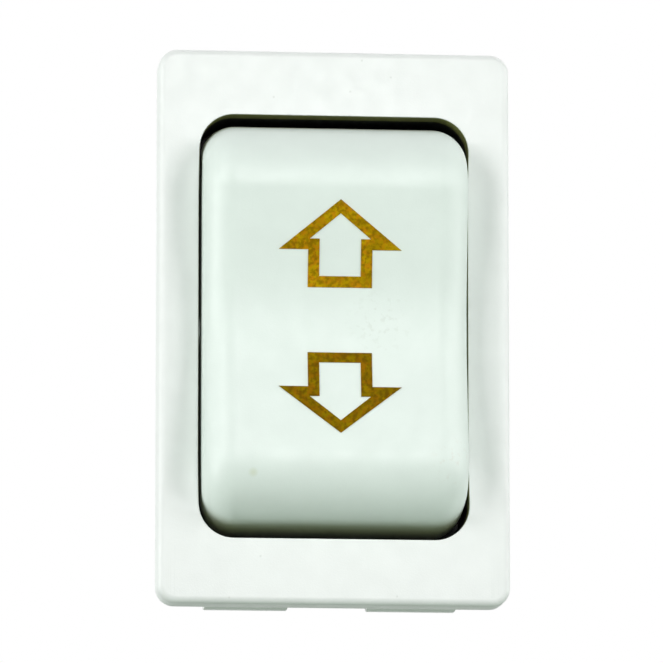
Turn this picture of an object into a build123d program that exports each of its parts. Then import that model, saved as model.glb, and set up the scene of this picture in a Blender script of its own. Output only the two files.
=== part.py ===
"""A snap-in rocker switch for the slide-out room of a motor home.

It has two poles, is momentary each way and rests off in the middle.
Millimetres. X runs to the right as a person faces the switch, Z runs up, and the front faces -Y.
The origin is the middle of the panel cut-out, on the back face of the bezel, where the panel's face lies.
Depths are Y values: below zero is proud of the panel, above zero is behind it.
"""

from math import atan, cos, radians, sin, sqrt, tan
import os

from build123d import *

# How far a cutting tool runs past the faces that it cuts, and how near two places count as one
OVERRUN = 1.0
NEAR = 0.01

# Bezel of the white frame: the opening for the rocker and the rails round it
OPENING_WIDTH = 19.48
OPENING_HEIGHT = 30.8
OPENING_CORNER_RADIUS = 2.5
SIDE_RAIL_WIDTH = 2.96
END_RAIL_HEIGHT = 4.725
BEZEL_THICKNESS = 2.3
BEZEL_CORNER_RADIUS = 1.35
BEZEL_EDGE_RADIUS = 0.5
BASE_POCKET_DEPTH = 0.6
BASE_POCKET_CLEARANCE = 0.05

# Dished scoops in the two side rails of the bezel
SCOOP_HALF_LENGTH = 13.3
SCOOP_RAMP_LENGTH = 2.6
SCOOP_RIM = 0.65
SCOOP_DEPTH = 0.75
SCOOP_BLEND = 1.6
SCOOP_MITRE = 8.0

# Snap wings that grip the panel, two on each short end, and the latch arms between them
WING_LEFT_CENTRE = -5.75
WING_LEFT_WIDTH = 6.1
WING_RIGHT_CENTRE = 6.3
WING_RIGHT_WIDTH = 6.5
WING_THICKNESS = 1.05
WING_GAP = 0.8
WING_LENGTH = 10.5
WING_BARB_START = 2.1
WING_BARB_PEAK = 5.0
WING_BARB_FLAT = 1.0
WING_BARB_RISE = 1.4
LATCH_WIDTH = 4.2
LATCH_THICKNESS = 0.8
LATCH_HOOK_LENGTH = 1.0
LATCH_HOOK_OVERLAP = 1.0

# White rocker
SIDE_GAP = 0.22
END_GAP = 0.5
PIVOT_DEPTH = 1.5
TILT = 9.0
FACE_ANGLE = 9.2
VALLEY_PROUD = 4.55
VALLEY_RADIUS = 22.0
ROLL_RADIUS = 4.3
SIDE_FILLET = 2.35
ROCKER_WALL = 1.3
BOSS_HALF_LENGTH = 3.6
BOSS_DROP = 2.2
TRUNNION_RADIUS = 1.2
TRUNNION_CLEARANCE = 0.05
TRUNNION_SHORTFALL = 0.1
RIB_THICKNESS = 1.0

# Gold arrows stamped on the rocker
FOIL = 0.05
ARROW_CENTRE = 0.12
ARROW_HALF_SPAN = 4.42
ARROW_SHAFT_HALF_WIDTH = 2.31
ARROW_INNER_SHAFT_HALF_WIDTH = 1.49
ARROW_INNER_HALF_SPAN = 2.2
UP_ARROW_TIP = 8.63
UP_ARROW_WINGS = 5.06
UP_ARROW_END = 2.38
UP_ARROW_INNER_TIP = 7.63
UP_ARROW_INNER_WINGS = 5.82
UP_ARROW_INNER_END = 3.18
DOWN_ARROW_TIP = 8.25
DOWN_ARROW_WINGS = 4.84
DOWN_ARROW_END = 2.33
DOWN_ARROW_INNER_TIP = 7.32
DOWN_ARROW_INNER_WINGS = 5.56
DOWN_ARROW_INNER_END = 3.06

# Black base
BASE_SIDE_WALL = 0.71
BASE_END_WALL = 1.0
ROCKER_SWING_CLEARANCE = 0.45
BASE_LEDGE = 1.0
BASE_STEP_IN = 2.0
BASE_LOWER_WALL = 1.1
BASE_CORNER_RADIUS = 3.2
BASE_FLOOR = 2.0
DIVIDER_THICKNESS = 1.2
DIVIDER_FRONT = 6.6

# Plungers and their springs, one for each pole, in tubes inside the rocker
PLUNGER_REACH = 12.0
PLUNGER_RADIUS = 1.75
PLUNGER_CLEARANCE = 0.05
PLUNGER_TIP_RADIUS = 1.2
PLUNGER_TIP_TAPER = 0.8
PLUNGER_SHOULDER = 6.3
SPIGOT_RADIUS = 0.95
SPIGOT_LENGTH = 1.6
TUBE_WALL = 0.8
TUBE_END = 9.0
BORE_TOP = -2.6
SPRING_RADIUS = 1.38
SPRING_WIRE = 0.34
SPRING_TURNS = 8
SPRING_END_CLEARANCE = 0.04

# See-saw contact blades
BLADE_REST_CLEARANCE = 0.08
BLADE_THICKNESS = 0.6
BLADE_WIDTH = 6.2
BLADE_END_GAP = 0.2
BLADE_WAIST = 5.0
BLADE_DISH_ANGLE = 7.0
BLADE_DISH_HALF_LENGTH = 3.0
CONTACT_END_DISTANCE = 1.8
CONTACT_RADIUS = 1.6
CONTACT_SHANK_RADIUS = 0.8
CONTACT_CROWN = 6.0
CONTACT_HEIGHT = 0.7
CONTACT_TILT = 5.4
RIVET_CLEARANCE = 0.03
CLOSED_CLEARANCE = 0.03
FULCRUM_CLEARANCE = 0.03

# Tab terminals
TAB_WIDTH = 6.35
TAB_THICKNESS = 0.8
TAB_LENGTH = 8.0
TAB_HOLE_RADIUS = 0.85
TAB_HOLE_FROM_END = 4.2
TAB_CHAMFER = 1.0
TAB_WALL_DISTANCE = 1.9
PAD_MARGIN = 0.3
TERMINAL_BEND = 0.72
FIXED_HEAD = 0.9
FORK_EAR_HEIGHT = 1.25
FORK_CLEARANCE = 0.1
WAIST_CLEARANCE = 0.22

# Worked out from the sizes above
BEZEL_WIDTH = OPENING_WIDTH + 2 * SIDE_RAIL_WIDTH
BEZEL_HEIGHT = OPENING_HEIGHT + 2 * END_RAIL_HEIGHT
SCOOP_TOOL_INNER = OPENING_WIDTH / 4
ROCKER_WIDTH = OPENING_WIDTH - 2 * SIDE_GAP
ROCKER_END_RADIUS = OPENING_HEIGHT / 2 - END_GAP
BEZEL_FACE = -BEZEL_THICKNESS
BASE_RIM = -BASE_POCKET_DEPTH
BASE_WIDTH = OPENING_WIDTH + 2 * BASE_SIDE_WALL
BASE_UPPER_HALF_HEIGHT = OPENING_HEIGHT / 2 + BASE_END_WALL
BASE_LOWER_HALF_HEIGHT = BASE_UPPER_HALF_HEIGHT - BASE_STEP_IN
BASE_LOWER_HALF_INSIDE = BASE_LOWER_HALF_HEIGHT - BASE_LOWER_WALL
WING_INNER_HEIGHT = BASE_UPPER_HALF_HEIGHT + WING_GAP
WING_OUTER_HEIGHT = WING_INNER_HEIGHT + WING_THICKNESS
POLE_SPACING = (OPENING_WIDTH + DIVIDER_THICKNESS) / 2
END_TAB_HEIGHT = BASE_LOWER_HALF_INSIDE - TAB_WALL_DISTANCE - TAB_THICKNESS
BLADE_REACH = END_TAB_HEIGHT - BLADE_END_GAP
CONTACT_REACH = BLADE_REACH - CONTACT_END_DISTANCE
PAD_INNER_HEIGHT = CONTACT_REACH - CONTACT_RADIUS - PAD_MARGIN
BASE_STEP_DEPTH = PIVOT_DEPTH + ROCKER_END_RADIUS * sin(radians(TILT)) + ROCKER_SWING_CLEARANCE
BASE_STEP_BACK = BASE_STEP_DEPTH + BASE_LEDGE
PLUNGER_TIP = PIVOT_DEPTH + PLUNGER_REACH
BLADE_FRONT = PLUNGER_TIP + BLADE_REST_CLEARANCE
FULCRUM_DEPTH = BLADE_FRONT + BLADE_THICKNESS
DISH_RISE = BLADE_DISH_HALF_LENGTH * tan(radians(BLADE_DISH_ANGLE))
ARM_BACK = FULCRUM_DEPTH - DISH_RISE
CROWN_CENTRE = ARM_BACK + CONTACT_HEIGHT - CONTACT_CROWN
CLOSED_DEPTH = (
    FULCRUM_DEPTH
    + (CROWN_CENTRE - FULCRUM_DEPTH) * cos(radians(CONTACT_TILT))
    + CONTACT_REACH * sin(radians(CONTACT_TILT))
    + CONTACT_CROWN
)
FIXED_FACE = CLOSED_DEPTH + CLOSED_CLEARANCE
PAD_FRONT = FIXED_FACE + FIXED_HEAD
FLOOR_FRONT = PAD_FRONT + TAB_THICKNESS
BASE_BACK = FLOOR_FRONT + BASE_FLOOR
TAB_END = BASE_BACK + TAB_LENGTH


def span_box(x_low, x_high, y_low, y_high, z_low, z_high):
    """A block between two corners."""
    centre = ((x_low + x_high) / 2, (y_low + y_high) / 2, (z_low + z_high) / 2)
    return Pos(*centre) * Box(x_high - x_low, y_high - y_low, z_high - z_low)


def front_block(width, height, corner_radius, y_low, y_high):
    """A block with rounded corners as seen from the front, from depth y_low to depth y_high."""
    outline = RectangleRounded(width, height, corner_radius)
    return Pos(0, y_high, 0) * extrude(Plane.XZ * outline, y_high - y_low)


def rod(radius, y_low, y_high, x=0.0, z=0.0):
    """A round rod that runs along Y."""
    middle = (y_low + y_high) / 2
    return Pos(x, middle, z) * Rot(90, 0, 0) * Cylinder(radius, y_high - y_low)


def side_plate(points, x_low, x_high):
    """A plate whose outline is given as (depth, height) points and that runs from x_low to x_high."""
    outline = make_face(Polyline(*points, close=True))
    return Pos(x_low, 0, 0) * extrude(Plane.YZ * outline, x_high - x_low)


def profile_depth(height, outward=0.0):
    """The depth of a paddle plane at a height, moved outward by some thickness."""
    slope = radians(FACE_ANGLE)
    return -(VALLEY_PROUD + outward / cos(slope)) - abs(height) * tan(slope)


def rocker_profile(outward, bottom):
    """The rocker's side view: flat paddles in a shallow V, rolled ends and end walls round the pivot."""
    end_radius = ROCKER_END_RADIUS + outward
    slope = tan(radians(FACE_ANGLE))
    reach = PIVOT_DEPTH - profile_depth(0, outward)
    square = 1 + slope**2
    root = sqrt((reach * slope) ** 2 - square * (reach**2 - end_radius**2))
    corner_height = (root - reach * slope) / square
    corner_depth = profile_depth(corner_height, outward)
    middle = Vector(corner_depth - PIVOT_DEPTH, corner_height + end_radius)
    middle = middle.normalized() * end_radius
    valley = (profile_depth(0, outward), 0)
    top_corner = (corner_depth, corner_height)
    low_corner = (corner_depth, -corner_height)
    edges = [
        Line(valley, top_corner),
        ThreePointArc(top_corner, (PIVOT_DEPTH + middle.X, middle.Y), (PIVOT_DEPTH, end_radius)),
        ThreePointArc((PIVOT_DEPTH, -end_radius), (PIVOT_DEPTH + middle.X, -middle.Y), low_corner),
        Line(low_corner, valley),
        Line((bottom, end_radius), (bottom, -end_radius)),
    ]
    if bottom > PIVOT_DEPTH:
        edges.append(Line((PIVOT_DEPTH, end_radius), (bottom, end_radius)))
        edges.append(Line((bottom, -end_radius), (PIVOT_DEPTH, -end_radius)))
    outline = make_face(edges)
    ends = [v for v in outline.vertices() if abs(v.X - corner_depth) < NEAR]
    outline = fillet(ends, ROLL_RADIUS + outward)
    valleys = [v for v in outline.vertices() if abs(v.Y) < NEAR and v.X < PIVOT_DEPTH]
    return fillet(valleys, VALLEY_RADIUS - outward)


def rocker_block(outward, bottom, width):
    """The rocker's side view as a block of some width."""
    outline = rocker_profile(outward, bottom)
    return extrude(Plane.YZ * outline, width / 2, both=True)


def make_rocker():
    """The rocker: a moulded shell with trunnions at its sides and a tube for each plunger."""
    half_width = ROCKER_WIDTH / 2
    body = rocker_block(0, PIVOT_DEPTH, ROCKER_WIDTH)
    rim = [
        edge
        for edge in body.edges()
        if abs(edge.center().X) > half_width - NEAR and edge.center().Y < PIVOT_DEPTH - NEAR
    ]
    body = fillet(rim, SIDE_FILLET)
    for side in (-1, 1):
        face = side * half_width
        inner = side * (half_width - ROCKER_WALL)
        x_low, x_high = sorted((face, inner))
        boss_end = PIVOT_DEPTH + BOSS_DROP
        body += span_box(x_low, x_high, 0, boss_end, -BOSS_HALF_LENGTH, BOSS_HALF_LENGTH)
    body -= rocker_block(-ROCKER_WALL, PIVOT_DEPTH + BOSS_DROP + OVERRUN, ROCKER_WIDTH - 2 * ROCKER_WALL)
    inside_top = -VALLEY_PROUD + ROCKER_WALL / 2
    body += span_box(
        -half_width + ROCKER_WALL / 2, half_width - ROCKER_WALL / 2,
        inside_top, PIVOT_DEPTH + BOSS_DROP / 2, -RIB_THICKNESS / 2, RIB_THICKNESS / 2,
    )
    bore_radius = PLUNGER_RADIUS + PLUNGER_CLEARANCE
    for side in (-1, 1):
        pole = side * POLE_SPACING / 2
        body += rod(bore_radius + TUBE_WALL, inside_top, TUBE_END, pole)
    for side in (-1, 1):
        pole = side * POLE_SPACING / 2
        body -= rod(bore_radius, BORE_TOP, TUBE_END + OVERRUN, pole)
    trunnion_end = BASE_WIDTH / 2 - TRUNNION_SHORTFALL
    trunnion_start = half_width - ROCKER_WALL
    for side in (-1, 1):
        middle = side * (trunnion_start + trunnion_end) / 2
        pin = Rot(0, 90, 0) * Cylinder(TRUNNION_RADIUS, trunnion_end - trunnion_start)
        body += Pos(middle, PIVOT_DEPTH, 0) * pin
    return body


def arrow_outline(tip, wings, end, half_span, shaft):
    """One arrow outline as seen from the front, pointing away from the middle of the rocker."""
    return [
        (0, tip), (half_span, wings), (shaft, wings), (shaft, end),
        (-shaft, end), (-shaft, wings), (-half_span, wings),
    ]


def make_arrow(side, outer, inner):
    """A hollow arrow of foil that follows the rocker's face. side is 1 above the middle and -1 below it."""
    foil = rocker_block(FOIL, PIVOT_DEPTH, ROCKER_WIDTH)
    foil -= rocker_block(0, PIVOT_DEPTH + OVERRUN, ROCKER_WIDTH + OVERRUN)
    stamps = []
    for points in (outer, inner):
        placed = [(ARROW_CENTRE + x, side * z) for x, z in points]
        outline = make_face(Polyline(*placed, close=True))
        stamps.append(extrude(Plane.XZ * outline, ROCKER_END_RADIUS))
    return foil & (stamps[0] - stamps[1])


def shoulder(edge, inward, angle):
    """Where the flat face rolls over into a slope: the start, middle and end of the blend."""
    start = edge - inward * SCOOP_BLEND * tan(angle / 2)
    return [
        (start + inward * SCOOP_BLEND * sin(turn), BEZEL_FACE + SCOOP_BLEND * (1 - cos(turn)))
        for turn in (0, angle / 2, angle)
    ]


def make_scoop(side):
    """The tool that dishes one side rail: it slopes in to the opening and runs out at both ends."""
    lift = BEZEL_FACE - BEZEL_THICKNESS
    outer = BEZEL_WIDTH / 2 - SCOOP_RIM
    inner = SCOOP_TOOL_INNER
    slope = atan(SCOOP_DEPTH / (outer - OPENING_WIDTH / 2))
    roll = shoulder(side * outer, -side, slope)
    deepest = BEZEL_FACE + (outer - inner) * tan(slope)
    section = [
        ThreePointArc(*roll),
        Polyline(
            roll[2], (side * inner, deepest), (side * inner, lift), (roll[0][0], lift), roll[0]
        ),
    ]
    wedge = extrude(make_face(section), SCOOP_HALF_LENGTH + SCOOP_BLEND, both=True)
    ramp = atan(SCOOP_DEPTH / SCOOP_RAMP_LENGTH)
    ramp_foot = SCOOP_HALF_LENGTH - (deepest - BEZEL_FACE) / tan(ramp)
    upper = [(depth, place) for place, depth in shoulder(SCOOP_HALF_LENGTH, -1, ramp)]
    lower = [(depth, -place) for depth, place in upper]
    length = [
        ThreePointArc(*upper),
        Polyline(upper[2], (deepest, ramp_foot), (deepest, -ramp_foot), lower[2]),
        ThreePointArc(*lower),
        Polyline(lower[0], (lift, lower[0][1]), (lift, upper[0][1]), upper[0]),
    ]
    return wedge & extrude(Plane.YZ * make_face(length), BEZEL_WIDTH, both=True)


def end_arm(points, centre, width, end):
    """A moulded arm on one short end. Its outline is (depth, height from the middle) points."""
    placed = [(y, end * z) for y, z in points]
    return side_plate(placed, centre - width / 2, centre + width / 2)


def make_frame():
    """The white frame: bezel, snap wings and latch arms in one moulding."""
    frame = front_block(BEZEL_WIDTH, BEZEL_HEIGHT, BEZEL_CORNER_RADIUS, BEZEL_FACE, 0)
    frame = fillet(frame.faces().sort_by(Axis.Y)[0].edges(), BEZEL_EDGE_RADIUS)
    for side in (-1, 1):
        frame -= make_scoop(side)
    dished = [
        edge
        for edge in frame.edges().filter_by(lambda edge: edge.length > SCOOP_BLEND)
        if edge.bounding_box().max.Y > BEZEL_FACE + NEAR
        and edge.bounding_box().min.Y < BEZEL_FACE + SCOOP_DEPTH
        and SCOOP_TOOL_INNER + NEAR < abs(edge.center().X) < BEZEL_WIDTH / 2 - SCOOP_RIM
        and abs(edge.center().Z) < SCOOP_HALF_LENGTH
    ]
    frame = fillet(dished, SCOOP_MITRE)
    frame -= front_block(
        OPENING_WIDTH, OPENING_HEIGHT, OPENING_CORNER_RADIUS, BEZEL_FACE - OVERRUN, OVERRUN
    )
    pocket_width = BASE_WIDTH + 2 * BASE_POCKET_CLEARANCE
    pocket_height = 2 * (BASE_UPPER_HALF_HEIGHT + BASE_POCKET_CLEARANCE)
    frame -= front_block(pocket_width, pocket_height, BASE_CORNER_RADIUS, BASE_RIM, OVERRUN)
    barb_tip = WING_OUTER_HEIGHT + WING_BARB_RISE
    wing = [
        (-BEZEL_THICKNESS / 2, WING_INNER_HEIGHT),
        (-BEZEL_THICKNESS / 2, WING_OUTER_HEIGHT),
        (WING_BARB_START, WING_OUTER_HEIGHT),
        (WING_BARB_PEAK, barb_tip),
        (WING_BARB_PEAK + WING_BARB_FLAT, barb_tip),
        (WING_LENGTH, WING_OUTER_HEIGHT - WING_THICKNESS / 2),
        (WING_LENGTH, WING_INNER_HEIGHT),
    ]
    hook_foot = BASE_UPPER_HALF_HEIGHT + BASE_POCKET_CLEARANCE
    hook_tip = BASE_UPPER_HALF_HEIGHT - LATCH_HOOK_OVERLAP
    arm_end = BASE_STEP_BACK + LATCH_HOOK_LENGTH
    latch = [
        (-BEZEL_THICKNESS / 2, hook_foot),
        (-BEZEL_THICKNESS / 2, hook_foot + LATCH_THICKNESS),
        (arm_end + LATCH_THICKNESS, hook_foot + LATCH_THICKNESS),
        (arm_end + LATCH_THICKNESS, hook_foot),
        (arm_end, hook_tip),
        (BASE_STEP_BACK, hook_tip),
        (BASE_STEP_BACK, hook_foot),
    ]
    for end in (-1, 1):
        frame += end_arm(wing, WING_LEFT_CENTRE, WING_LEFT_WIDTH, end)
        frame += end_arm(wing, WING_RIGHT_CENTRE, WING_RIGHT_WIDTH, end)
        frame += end_arm(latch, 0, LATCH_WIDTH, end)
    return frame


def make_base():
    """The black base: a stepped cup with a wall between the poles, trunnion holes and tab slots."""
    base = front_block(BASE_WIDTH, 2 * BASE_UPPER_HALF_HEIGHT, BASE_CORNER_RADIUS, BASE_RIM, BASE_STEP_BACK)
    base += front_block(BASE_WIDTH, 2 * BASE_LOWER_HALF_HEIGHT, BASE_CORNER_RADIUS, BASE_RIM, BASE_BACK)
    base -= front_block(
        OPENING_WIDTH, OPENING_HEIGHT, OPENING_CORNER_RADIUS, BASE_RIM - OVERRUN, BASE_STEP_DEPTH
    )
    base -= front_block(
        OPENING_WIDTH, 2 * BASE_LOWER_HALF_INSIDE, OPENING_CORNER_RADIUS, BASE_RIM, FLOOR_FRONT
    )
    base += span_box(
        -DIVIDER_THICKNESS / 2, DIVIDER_THICKNESS / 2, DIVIDER_FRONT, BASE_BACK,
        -BASE_LOWER_HALF_HEIGHT + BASE_LOWER_WALL / 2, BASE_LOWER_HALF_HEIGHT - BASE_LOWER_WALL / 2,
    )
    hole = Rot(0, 90, 0) * Cylinder(TRUNNION_RADIUS + TRUNNION_CLEARANCE, BASE_WIDTH + 2 * OVERRUN)
    base -= Pos(0, PIVOT_DEPTH, 0) * hole
    for side in (-1, 1):
        pole = side * POLE_SPACING / 2
        for low in (-TAB_THICKNESS / 2, END_TAB_HEIGHT, -END_TAB_HEIGHT - TAB_THICKNESS):
            base -= span_box(
                pole - TAB_WIDTH / 2, pole + TAB_WIDTH / 2, FLOOR_FRONT - OVERRUN, BASE_BACK + OVERRUN,
                low, low + TAB_THICKNESS,
            )
    return base


def tab_blade(pole, front, low):
    """The flat part of a terminal, through the floor, with a chamfered end and a latching hole."""
    half = TAB_WIDTH / 2
    outline = [
        (pole - half, front), (pole + half, front), (pole + half, TAB_END - TAB_CHAMFER),
        (pole + half - TAB_CHAMFER, TAB_END), (pole - half + TAB_CHAMFER, TAB_END),
        (pole - half, TAB_END - TAB_CHAMFER),
    ]
    blade = Pos(0, 0, low) * extrude(make_face(Polyline(*outline, close=True)), TAB_THICKNESS)
    drill = Cylinder(TAB_HOLE_RADIUS, 2 * (TAB_THICKNESS + OVERRUN))
    hole = Pos(pole, TAB_END - TAB_HOLE_FROM_END, low) * drill
    return blade - hole


def make_common_terminal(pole):
    """A middle terminal: a straight tab whose forked inner end is the fulcrum of the see-saw."""
    notch_floor = FULCRUM_DEPTH + FULCRUM_CLEARANCE
    blade = tab_blade(pole, notch_floor - FORK_EAR_HEIGHT, -TAB_THICKNESS / 2)
    notch_half = BLADE_WAIST / 2 + FORK_CLEARANCE
    notch = span_box(
        pole - notch_half, pole + notch_half, notch_floor - FORK_EAR_HEIGHT - OVERRUN, notch_floor,
        -TAB_THICKNESS, TAB_THICKNESS,
    )
    return blade - notch


def make_end_terminal(pole, end):
    """An upper or lower terminal: a tab bent over inside, with a hole for its fixed contact."""
    low = END_TAB_HEIGHT if end > 0 else -END_TAB_HEIGHT - TAB_THICKNESS
    terminal = tab_blade(pole, PAD_FRONT, low)
    z_low, z_high = sorted((end * PAD_INNER_HEIGHT, end * (END_TAB_HEIGHT + TAB_THICKNESS)))
    terminal += span_box(
        pole - TAB_WIDTH / 2, pole + TAB_WIDTH / 2, PAD_FRONT, FLOOR_FRONT, z_low, z_high
    )
    outer_bend = [
        edge
        for edge in terminal.edges().filter_by(Axis.X)
        if abs(edge.center().Y - PAD_FRONT) < NEAR
        and abs(abs(edge.center().Z) - END_TAB_HEIGHT - TAB_THICKNESS) < NEAR
    ]
    terminal = fillet(outer_bend, TERMINAL_BEND)
    shank = CONTACT_SHANK_RADIUS + RIVET_CLEARANCE
    return terminal - rod(shank, PAD_FRONT - OVERRUN, FLOOR_FRONT + OVERRUN, pole, end * CONTACT_REACH)


def make_fixed_contact(pole, end):
    """A silver rivet set in an end terminal."""
    height = end * CONTACT_REACH
    head = rod(CONTACT_RADIUS, FIXED_FACE, PAD_FRONT, pole, height)
    return head + rod(CONTACT_SHANK_RADIUS, FIXED_FACE + FIXED_HEAD / 2, FLOOR_FRONT, pole, height)


def make_contact_blade(pole):
    """A see-saw blade of copper: dished, waisted between the fork's ears and drilled at its ends."""
    back = FULCRUM_DEPTH
    front = FULCRUM_DEPTH - BLADE_THICKNESS
    outline = [
        (front, 0), (front - DISH_RISE, BLADE_DISH_HALF_LENGTH), (front - DISH_RISE, BLADE_REACH),
        (back - DISH_RISE, BLADE_REACH), (back - DISH_RISE, BLADE_DISH_HALF_LENGTH), (back, 0),
        (back - DISH_RISE, -BLADE_DISH_HALF_LENGTH), (back - DISH_RISE, -BLADE_REACH),
        (front - DISH_RISE, -BLADE_REACH), (front - DISH_RISE, -BLADE_DISH_HALF_LENGTH),
    ]
    blade = side_plate(outline, pole - BLADE_WIDTH / 2, pole + BLADE_WIDTH / 2)
    waist_half = TAB_THICKNESS / 2 + WAIST_CLEARANCE
    for side in (-1, 1):
        x_low, x_high = sorted((pole + side * BLADE_WAIST / 2, pole + side * BLADE_WIDTH))
        blade -= span_box(x_low, x_high, front - OVERRUN, back + OVERRUN, -waist_half, waist_half)
    for end in (-1, 1):
        shank = CONTACT_SHANK_RADIUS + RIVET_CLEARANCE
        blade -= rod(shank, front - DISH_RISE - OVERRUN, back + OVERRUN, pole, end * CONTACT_REACH)
    return blade


def make_moving_contact(pole, end):
    """A silver button with a crowned face, riveted in one end of a see-saw blade."""
    height = end * CONTACT_REACH
    head = rod(CONTACT_RADIUS, ARM_BACK, ARM_BACK + CONTACT_HEIGHT, pole, height)
    head &= Pos(pole, CROWN_CENTRE, height) * Sphere(CONTACT_CROWN)
    shank_end = ARM_BACK + CONTACT_HEIGHT / 2
    return head + rod(CONTACT_SHANK_RADIUS, ARM_BACK - BLADE_THICKNESS, shank_end, pole, height)


def make_plunger(pole):
    """A nylon plunger: a spigot for the spring, a round shaft and a ball tip that runs on the see-saw."""
    ball = PLUNGER_TIP - PLUNGER_TIP_RADIUS
    taper = ball - PLUNGER_TIP_TAPER
    diagonal = PLUNGER_TIP_RADIUS * sin(radians(45))
    edges = [
        Line((0, PLUNGER_SHOULDER - SPIGOT_LENGTH), (SPIGOT_RADIUS, PLUNGER_SHOULDER - SPIGOT_LENGTH)),
        Line((SPIGOT_RADIUS, PLUNGER_SHOULDER - SPIGOT_LENGTH), (SPIGOT_RADIUS, PLUNGER_SHOULDER)),
        Line((SPIGOT_RADIUS, PLUNGER_SHOULDER), (PLUNGER_RADIUS, PLUNGER_SHOULDER)),
        Line((PLUNGER_RADIUS, PLUNGER_SHOULDER), (PLUNGER_RADIUS, taper)),
        Line((PLUNGER_RADIUS, taper), (PLUNGER_TIP_RADIUS, ball)),
        ThreePointArc((PLUNGER_TIP_RADIUS, ball), (diagonal, ball + diagonal), (0, PLUNGER_TIP)),
        Line((0, PLUNGER_TIP), (0, PLUNGER_SHOULDER - SPIGOT_LENGTH)),
    ]
    return Pos(pole, 0, 0) * revolve(make_face(edges), Axis.Y)


def make_spring(pole):
    """A coil spring between the end of the bore and the plunger's shoulder."""
    low = BORE_TOP + SPRING_WIRE / 2 + SPRING_END_CLEARANCE
    high = PLUNGER_SHOULDER - SPRING_WIRE / 2 - SPRING_END_CLEARANCE
    length = high - low
    path = Helix(length / SPRING_TURNS, length, SPRING_RADIUS)
    section = Plane(origin=path @ 0, z_dir=path % 0) * Circle(SPRING_WIRE / 2)
    coil = sweep(section, path=path, is_frenet=True)
    return Pos(pole, high, 0) * Rot(90, 0, 0) * coil


def make_parts():
    """Every piece of the switch by its name."""
    parts = {
        "bezel_frame": make_frame(),
        "switch_base": make_base(),
        "rocker": make_rocker(),
        "arrow_up_mark": make_arrow(
            1,
            arrow_outline(
                UP_ARROW_TIP, UP_ARROW_WINGS, UP_ARROW_END, ARROW_HALF_SPAN, ARROW_SHAFT_HALF_WIDTH
            ),
            arrow_outline(
                UP_ARROW_INNER_TIP, UP_ARROW_INNER_WINGS, UP_ARROW_INNER_END,
                ARROW_INNER_HALF_SPAN, ARROW_INNER_SHAFT_HALF_WIDTH,
            ),
        ),
        "arrow_down_mark": make_arrow(
            -1,
            arrow_outline(
                DOWN_ARROW_TIP, DOWN_ARROW_WINGS, DOWN_ARROW_END, ARROW_HALF_SPAN, ARROW_SHAFT_HALF_WIDTH
            ),
            arrow_outline(
                DOWN_ARROW_INNER_TIP, DOWN_ARROW_INNER_WINGS, DOWN_ARROW_INNER_END,
                ARROW_INNER_HALF_SPAN, ARROW_INNER_SHAFT_HALF_WIDTH,
            ),
        ),
    }
    for side_name, side in (("left", -1), ("right", 1)):
        pole = side * POLE_SPACING / 2
        parts[f"{side_name}_plunger"] = make_plunger(pole)
        parts[f"{side_name}_spring"] = make_spring(pole)
        parts[f"{side_name}_contact_blade"] = make_contact_blade(pole)
        parts[f"{side_name}_common_terminal"] = make_common_terminal(pole)
        for end_name, end in (("upper", 1), ("lower", -1)):
            parts[f"{side_name}_{end_name}_terminal"] = make_end_terminal(pole, end)
            parts[f"{side_name}_{end_name}_fixed_contact"] = make_fixed_contact(pole, end)
            parts[f"{side_name}_{end_name}_moving_contact"] = make_moving_contact(pole, end)
    return parts


os.makedirs("parts", exist_ok=True)
for name, shape in make_parts().items():
    export_step(shape, f"parts/{name}.step")
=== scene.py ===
"""The looks of a snap-in rocker switch for a motor home's slide-out room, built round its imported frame.

The modelling functions work in millimetres, and settle() brings each finished piece to metres.
X runs to the right as a person faces the switch, Z runs up, and the front faces -Y.
"""

import math

import bpy
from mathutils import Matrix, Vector


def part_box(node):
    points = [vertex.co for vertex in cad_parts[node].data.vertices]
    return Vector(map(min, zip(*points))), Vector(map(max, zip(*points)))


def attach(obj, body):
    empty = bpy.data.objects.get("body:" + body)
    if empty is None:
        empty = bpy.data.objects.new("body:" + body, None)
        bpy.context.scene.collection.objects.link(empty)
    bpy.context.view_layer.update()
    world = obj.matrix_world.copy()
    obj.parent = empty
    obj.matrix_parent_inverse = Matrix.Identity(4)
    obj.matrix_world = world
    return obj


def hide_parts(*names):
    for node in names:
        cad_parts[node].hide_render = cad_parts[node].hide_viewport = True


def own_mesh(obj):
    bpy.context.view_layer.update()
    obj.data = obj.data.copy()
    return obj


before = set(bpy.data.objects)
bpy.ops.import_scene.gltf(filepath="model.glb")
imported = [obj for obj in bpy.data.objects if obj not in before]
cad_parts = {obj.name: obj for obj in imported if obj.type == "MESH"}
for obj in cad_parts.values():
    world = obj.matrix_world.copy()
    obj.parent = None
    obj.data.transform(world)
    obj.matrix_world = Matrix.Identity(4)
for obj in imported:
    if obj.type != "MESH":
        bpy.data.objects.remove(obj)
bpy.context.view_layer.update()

bl_info = {
    "name": "Slide-out switch",
    "version": (1, 0, 0),
    "blender": (4, 5, 0),
    "location": "View3D > Sidebar > Slide-out switch",
    "description": "Models a snap-in rocker switch with gold arrows, its black base and its tab terminals",
    "category": "Add Mesh",
}

MM = 0.001
NEAR = 0.01
WELD = 0.0005
SMOOTH_ANGLE = math.radians(32)
SHARP_ANGLE = math.radians(50)
ROD_STEPS = 64
SMALL_ROD_STEPS = 48

# Bezel and its opening, in millimetres
OPENING_WIDTH = 19.48
OPENING_HEIGHT = 30.8
OPENING_CORNER_RADIUS = 2.5
BEZEL_THICKNESS = 2.3
BEZEL_CORNER_RADIUS = 1.35
POCKET_DEPTH = 0.6
POCKET_CLEARANCE = 0.05

# Dished scoops in the side rails, and the net of edges that carries their shape
SCOOP_HALF_LENGTH = 13.3
SCOOP_RAMP_LENGTH = 2.6
SCOOP_RIM = 0.65
SCOOP_DEPTH = 0.75
SCOOP_BLEND = 0.14
SCOOP_MITRE_BLEND = 0.75
NET_START = 0.17
NET_STEP = 0.15

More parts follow.
